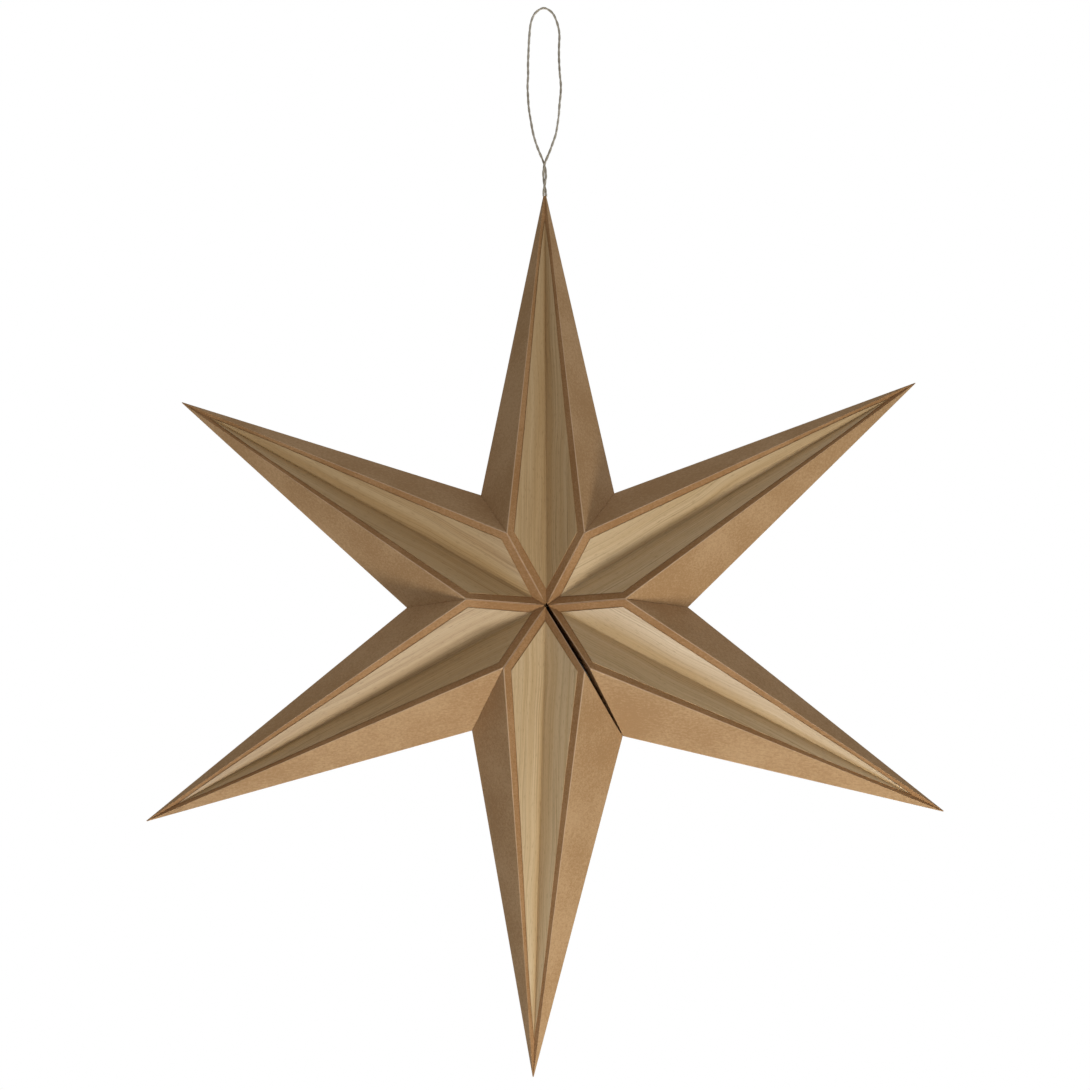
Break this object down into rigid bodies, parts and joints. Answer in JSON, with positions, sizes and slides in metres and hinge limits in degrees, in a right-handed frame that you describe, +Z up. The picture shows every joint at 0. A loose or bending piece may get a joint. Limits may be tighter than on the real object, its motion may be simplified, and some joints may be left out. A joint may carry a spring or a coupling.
{
  "type": "origami star",
  "caption": "Hanging star of folded kraft card with pointed, valley-folded rays, wood veneer lining the valleys and a twine loop at the top tip.",
  "frame": {"origin": "where the loop bears on a hook, at the inside top of the loop", "axes": "+Z up as the star hangs, +X to the right seen from the front, -Y out of the front; the star lies in the XZ plane"},
  "size_m": [0.3933, 0.054, 0.5621],
  "materials": {
    "card": "uncoated kraft card",
    "veneer": "raw pale veneer",
    "magnet": "plain",
    "twine": "raw twine"
  },
  "bodies": {
    "root": {"point_top": "card", "point_upper_right": "card", "point_lower_right": "card", "point_bottom": "card", "point_lower_left": "card", "point_upper_left": "card", "veneer_front_top": "veneer", "veneer_front_upper_right": "veneer", "veneer_front_lower_right": "veneer", "veneer_front_bottom": "veneer", "veneer_front_lower_left": "veneer", "veneer_front_upper_left": "veneer", "veneer_back_top": "veneer", "veneer_back_upper_right": "veneer", "veneer_back_lower_right": "veneer", "veneer_back_bottom": "veneer", "veneer_back_lower_left": "veneer", "veneer_back_upper_left": "veneer", "closing_magnet_upper": "magnet", "closing_magnet_lower": "magnet", "hanging_loop": "twine"}
  },
  "joints": []
}
